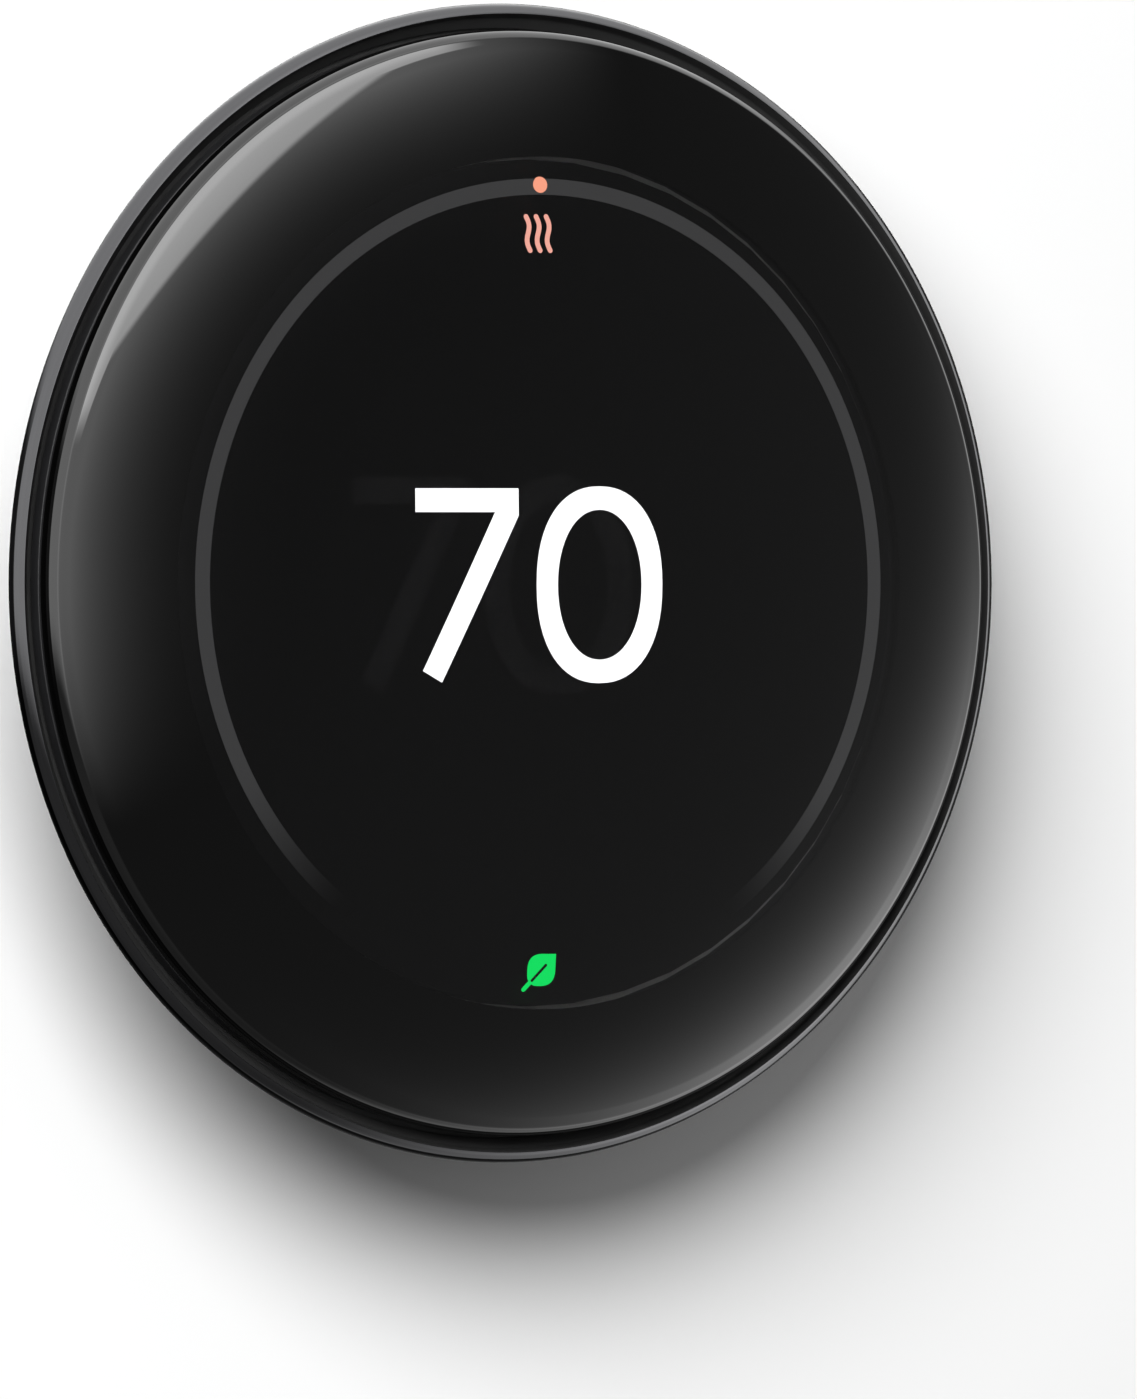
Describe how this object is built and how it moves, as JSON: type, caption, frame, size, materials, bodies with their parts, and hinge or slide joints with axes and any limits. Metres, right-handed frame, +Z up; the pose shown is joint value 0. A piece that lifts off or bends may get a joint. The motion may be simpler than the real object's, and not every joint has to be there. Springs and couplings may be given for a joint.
{
  "type": "wall thermostat",
  "caption": "Round wall thermostat: domed black glass over a lit display, a turning metal ring, a pull-off head and a wall base with push-in wire terminals.",
  "frame": {"origin": "centre of the base plate's back face, where the thermostat meets the wall, on the axis the ring turns about", "axes": "+Z up, +Y into the wall, and the glass faces -Y, the room"},
  "size_m": [0.1006, 0.0282, 0.1006],
  "materials": {
    "black_glass": "gloss, domed and tinted black",
    "dark_metal": "polished dark metal",
    "black_plastic": "satin black moulding",
    "light_plastic": "matt light grey moulding",
    "tab_plastic": "satin grey",
    "circuit_board": "green solder mask",
    "spring_steel": "bright spring strip",
    "tin_plate": "tinned sheet",
    "connector_plastic": "matt black",
    "glide_plastic": "smooth off-white",
    "vial_acrylic": "clear yellow-green",
    "battery_foil": "foil pouch",
    "panel_black": "dark display with lit figures",
    "adhesive": "matt black",
    "flex_film": "amber film",
    "lead_jacket": "red insulation"
  },
  "bodies": {
    "base": {"base_plate": "light_plastic", "base_pcb": "circuit_board", "terminal_block_right": "light_plastic", "terminal_block_left": "light_plastic", "base_cover": "light_plastic", "level_vial": "vial_acrylic", "base_socket": "connector_plastic", "latch_spring_1": "spring_steel", "latch_spring_2": "spring_steel", "latch_spring_3": "spring_steel", "clamp_spring_right_1": "spring_steel", "clamp_spring_right_2": "spring_steel", "clamp_spring_right_3": "spring_steel", "clamp_spring_right_4": "spring_steel", "clamp_spring_right_5": "spring_steel", "clamp_spring_left_1": "spring_steel", "clamp_spring_left_2": "spring_steel", "clamp_spring_left_3": "spring_steel", "clamp_spring_left_4": "spring_steel", "clamp_spring_left_5": "spring_steel"},
    "head": {"head_housing": "black_plastic", "rear_cover": "black_plastic", "rear_screw_1": "tin_plate", "rear_screw_2": "tin_plate", "rear_screw_3": "tin_plate", "rear_screw_4": "tin_plate", "main_pcb": "circuit_board", "battery": "battery_foil", "battery_connector": "glide_plastic", "battery_lead": "lead_jacket", "shield_can_main": "tin_plate", "shield_can_radio": "tin_plate", "speaker": "connector_plastic", "display_connector": "connector_plastic", "temperature_sensor": "connector_plastic", "head_plug": "connector_plastic", "switch_body": "connector_plastic", "wave_spring": "spring_steel"},
    "face": {"display_frame": "black_plastic", "backlight": "glide_plastic", "lcd_panel": "panel_black", "display_flex": "flex_film", "lens_glass": "black_glass", "lens_adhesive": "adhesive", "presence_sensor": "connector_plastic", "ring_track": "glide_plastic", "optical_sensor": "connector_plastic"},
    "turning_ring": {"ring": "dark_metal", "encoder_band": "adhesive"},
    "switch": {"switch_plunger": "glide_plastic"},
    "tab_right_1": {"terminal_tab_right_1": "tab_plastic"},
    "tab_right_2": {"terminal_tab_right_2": "tab_plastic"},
    "tab_right_3": {"terminal_tab_right_3": "tab_plastic"},
    "tab_right_4": {"terminal_tab_right_4": "tab_plastic"},
    "tab_right_5": {"terminal_tab_right_5": "tab_plastic"},
    "tab_left_1": {"terminal_tab_left_1": "tab_plastic"},
    "tab_left_2": {"terminal_tab_left_2": "tab_plastic"},
    "tab_left_3": {"terminal_tab_left_3": "tab_plastic"},
    "tab_left_4": {"terminal_tab_left_4": "tab_plastic"},
    "tab_left_5": {"terminal_tab_left_5": "tab_plastic"}
  },
  "joints": [
    {"name": "head_lift", "type": "slide", "parent": "base", "child": "head", "axis": [0, -1, 0], "range_m": [0, 0.03]},
    {"name": "face_press", "type": "slide", "parent": "head", "child": "face", "axis": [0, 1, 0], "range_m": [0, 0.0006], "stiffness_N_per_m": 1500, "springref_m": -0.001, "deforming": ["wave_spring", "display_flex"]},
    {"name": "ring_spin", "type": "hinge", "parent": "face", "child": "turning_ring", "pos_m": [0, -0.0151, 0], "axis": [0, -1, 0], "continuous": true},
    {"name": "switch_press", "type": "slide", "parent": "head", "child": "switch", "axis": [0, 1, 0], "range_m": [0, 0.0006]},
    {"name": "terminal_right_1_press", "type": "slide", "parent": "base", "child": "tab_right_1", "axis": [0, 1, 0], "range_m": [0, 0.001], "stiffness_N_per_m": 400, "springref_m": -0.0005, "deforming": ["clamp_spring_right_1"]},
    {"name": "terminal_right_2_press", "type": "slide", "parent": "base", "child": "tab_right_2", "axis": [0, 1, 0], "range_m": [0, 0.001], "stiffness_N_per_m": 400, "springref_m": -0.0005, "deforming": ["clamp_spring_right_2"]},
    {"name": "terminal_right_3_press", "type": "slide", "parent": "base", "child": "tab_right_3", "axis": [0, 1, 0], "range_m": [0, 0.001], "stiffness_N_per_m": 400, "springref_m": -0.0005, "deforming": ["clamp_spring_right_3"]},
    {"name": "terminal_right_4_press", "type": "slide", "parent": "base", "child": "tab_right_4", "axis": [0, 1, 0], "range_m": [0, 0.001], "stiffness_N_per_m": 400, "springref_m": -0.0005, "deforming": ["clamp_spring_right_4"]},
    {"name": "terminal_right_5_press", "type": "slide", "parent": "base", "child": "tab_right_5", "axis": [0, 1, 0], "range_m": [0, 0.001], "stiffness_N_per_m": 400, "springref_m": -0.0005, "deforming": ["clamp_spring_right_5"]},
    {"name": "terminal_left_1_press", "type": "slide", "parent": "base", "child": "tab_left_1", "axis": [0, 1, 0], "range_m": [0, 0.001], "stiffness_N_per_m": 400, "springref_m": -0.0005, "deforming": ["clamp_spring_left_1"]},
    {"name": "terminal_left_2_press", "type": "slide", "parent": "base", "child": "tab_left_2", "axis": [0, 1, 0], "range_m": [0, 0.001], "stiffness_N_per_m": 400, "springref_m": -0.0005, "deforming": ["clamp_spring_left_2"]},
    {"name": "terminal_left_3_press", "type": "slide", "parent": "base", "child": "tab_left_3", "axis": [0, 1, 0], "range_m": [0, 0.001], "stiffness_N_per_m": 400, "springref_m": -0.0005, "deforming": ["clamp_spring_left_3"]},
    {"name": "terminal_left_4_press", "type": "slide", "parent": "base", "child": "tab_left_4", "axis": [0, 1, 0], "range_m": [0, 0.001], "stiffness_N_per_m": 400, "springref_m": -0.0005, "deforming": ["clamp_spring_left_4"]},
    {"name": "terminal_left_5_press", "type": "slide", "parent": "base", "child": "tab_left_5", "axis": [0, 1, 0], "range_m": [0, 0.001], "stiffness_N_per_m": 400, "springref_m": -0.0005, "deforming": ["clamp_spring_left_5"]}
  ],
  "couplings": [
    {"joint": "switch_press", "follows": "face_press", "ratio": 1}
  ]
}
